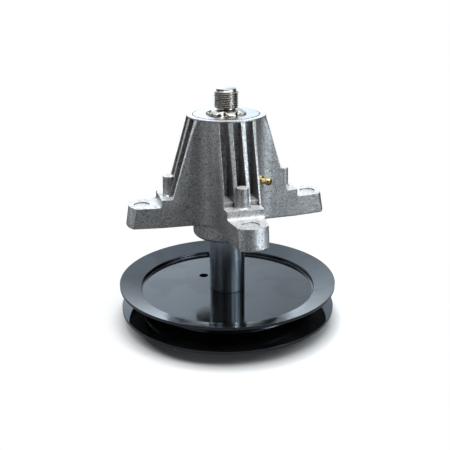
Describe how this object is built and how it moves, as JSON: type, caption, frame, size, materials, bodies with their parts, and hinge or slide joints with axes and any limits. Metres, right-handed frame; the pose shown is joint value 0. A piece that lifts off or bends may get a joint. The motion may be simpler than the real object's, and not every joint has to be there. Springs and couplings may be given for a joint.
{
  "type": "mower deck spindle",
  "caption": "Mower deck spindle: cast housing with ribbed legs and bolt ears, a turning shaft with a blade thread, bearings and a V-belt pulley.",
  "frame": {"origin": "on the spindle axis, in the plane of the ears that bolts to the deck", "axes": "+Z along the spindle towards the blade end; +X and +Y along two neighbouring legs"},
  "size_m": [0.1496, 0.1496, 0.1599],
  "materials": {
    "cast_aluminium": "as cast, fine grain",
    "turned_steel": "fine turned",
    "shield_steel": "bright, lightly turned",
    "zinc_plate": "bright zinc plate with a bluish tint",
    "black_paint": "gloss black",
    "brass": "plain turned",
    "bearing_steel": "ground",
    "spring_steel": "drawn wire",
    "seal_rubber": "matt black",
    "cage_plastic": "natural nylon"
  },
  "bodies": {
    "housing": {"spindle_housing": "cast_aluminium", "lower_bearing_outer_race": "bearing_steel", "lower_bearing_top_seal": "seal_rubber", "lower_bearing_bottom_seal": "seal_rubber", "upper_bearing_outer_race": "bearing_steel", "upper_bearing_top_seal": "seal_rubber", "upper_bearing_bottom_seal": "seal_rubber", "grease_fitting_body": "brass", "grease_fitting_spring": "spring_steel"},
    "rotor": {"spindle_shaft": "turned_steel", "dust_shield": "shield_steel", "bearing_spacer": "turned_steel", "pulley_spacer_tube": "zinc_plate", "pulley_upper_sheet": "black_paint", "pulley_lower_sheet": "black_paint", "pulley_nut": "zinc_plate", "lower_bearing_inner_race": "bearing_steel", "upper_bearing_inner_race": "bearing_steel"},
    "lower_ball_cage": {"lower_bearing_balls": "bearing_steel", "lower_bearing_cage": "cage_plastic"},
    "upper_ball_cage": {"upper_bearing_balls": "bearing_steel", "upper_bearing_cage": "cage_plastic"},
    "grease_check_ball": {"grease_fitting_ball": "bearing_steel"}
  },
  "joints": [
    {"name": "spindle_turn", "type": "hinge", "parent": "housing", "child": "rotor", "pos_m": [0, 0, 0], "axis": [0, 0, 1], "continuous": true},
    {"name": "lower_cage_turn", "type": "hinge", "parent": "housing", "child": "lower_ball_cage", "pos_m": [0, 0, 0], "axis": [0, 0, 1], "continuous": true},
    {"name": "upper_cage_turn", "type": "hinge", "parent": "housing", "child": "upper_ball_cage", "pos_m": [0, 0, 0], "axis": [0, 0, 1], "continuous": true},
    {"name": "grease_ball_slide", "type": "slide", "parent": "housing", "child": "grease_check_ball", "axis": [-0.7071, 0.7071, 0], "range_m": [0, 0.0006], "stiffness_N_per_m": 500, "springref_m": -0.0002, "deforming": ["grease_fitting_spring"]}
  ],
  "couplings": [
    {"joint": "lower_cage_turn", "follows": "spindle_turn", "ratio": 0.38096},
    {"joint": "upper_cage_turn", "follows": "spindle_turn", "ratio": 0.38096}
  ]
}
